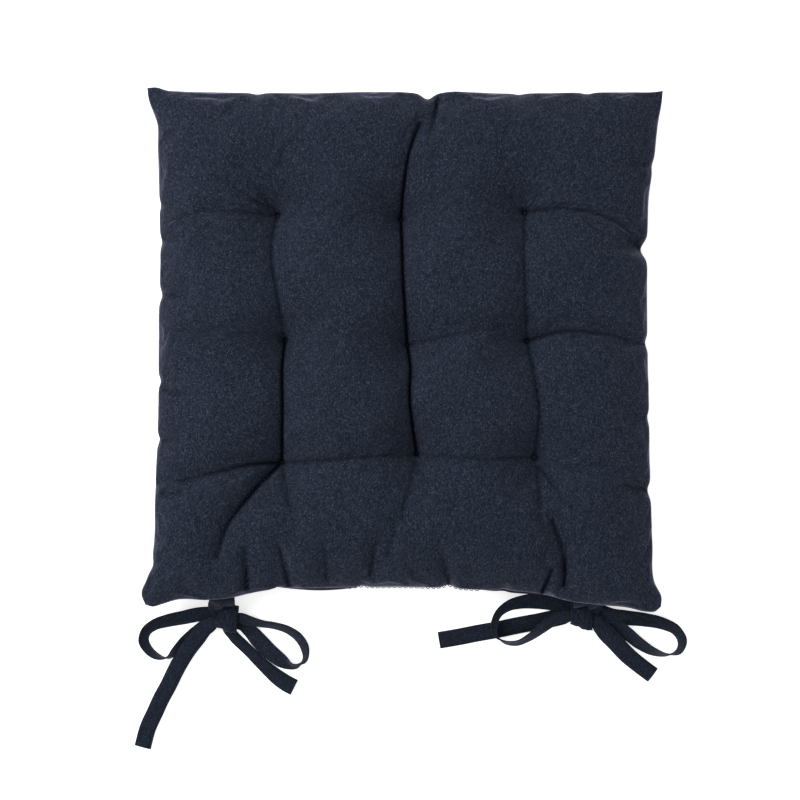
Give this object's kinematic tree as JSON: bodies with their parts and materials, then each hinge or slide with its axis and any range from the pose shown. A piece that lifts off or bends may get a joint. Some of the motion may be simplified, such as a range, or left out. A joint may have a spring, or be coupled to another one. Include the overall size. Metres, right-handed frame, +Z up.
{
  "type": "tie-on seat cushion",
  "caption": "Square tufted seat cushion of two sewn cloth panels over a fibre filling, with paired tie tapes at the back edge, each pair tied in a bow.",
  "frame": {"origin": "centre of the flat underside, on the seat; the ties are left out of that centre", "axes": "+Z up, -Y towards the edge with the ties, at the chair's back; +X to the right seen from above with +Y away"},
  "size_m": [0.4274, 0.5059, 0.0554],
  "materials": {
    "cover_cloth": "matte",
    "tie_tape": "matte",
    "sewing_thread": "satin",
    "fibre_fill": "matte"
  },
  "bodies": {
    "cushion": {"top_cover_panel": "cover_cloth", "bottom_cover_panel": "cover_cloth", "fibre_filling": "fibre_fill", "perimeter_seam_thread": "sewing_thread", "closing_seam_thread": "sewing_thread", "tuft_thread_r1c1": "sewing_thread", "tuft_thread_r1c2": "sewing_thread", "tuft_thread_r1c3": "sewing_thread", "tuft_thread_r2c1": "sewing_thread", "tuft_thread_r2c2": "sewing_thread", "tuft_thread_r2c3": "sewing_thread", "tuft_thread_r3c1": "sewing_thread", "tuft_thread_r3c2": "sewing_thread", "tuft_thread_r3c3": "sewing_thread"},
    "left_bow": {"left_outer_tie_stem": "tie_tape", "left_outer_tie_loop": "tie_tape", "left_outer_tie_end": "tie_tape", "left_inner_tie_stem": "tie_tape", "left_inner_tie_loop": "tie_tape", "left_inner_tie_end": "tie_tape", "left_bow_knot": "tie_tape"},
    "right_bow": {"right_outer_tie_stem": "tie_tape", "right_outer_tie_loop": "tie_tape", "right_outer_tie_end": "tie_tape", "right_inner_tie_stem": "tie_tape", "right_inner_tie_loop": "tie_tape", "right_inner_tie_end": "tie_tape", "right_bow_knot": "tie_tape"}
  },
  "joints": [
    {"name": "left_bow_swing", "type": "hinge", "parent": "cushion", "child": "left_bow", "pos_m": [-0.1406, -0.1915, 0.024], "axis": [1, 0, 0], "range_deg": [-95, 25]},
    {"name": "right_bow_swing", "type": "hinge", "parent": "cushion", "child": "right_bow", "pos_m": [0.1396, -0.1914, 0.024], "axis": [1, 0, 0], "range_deg": [-95, 25]}
  ]
}
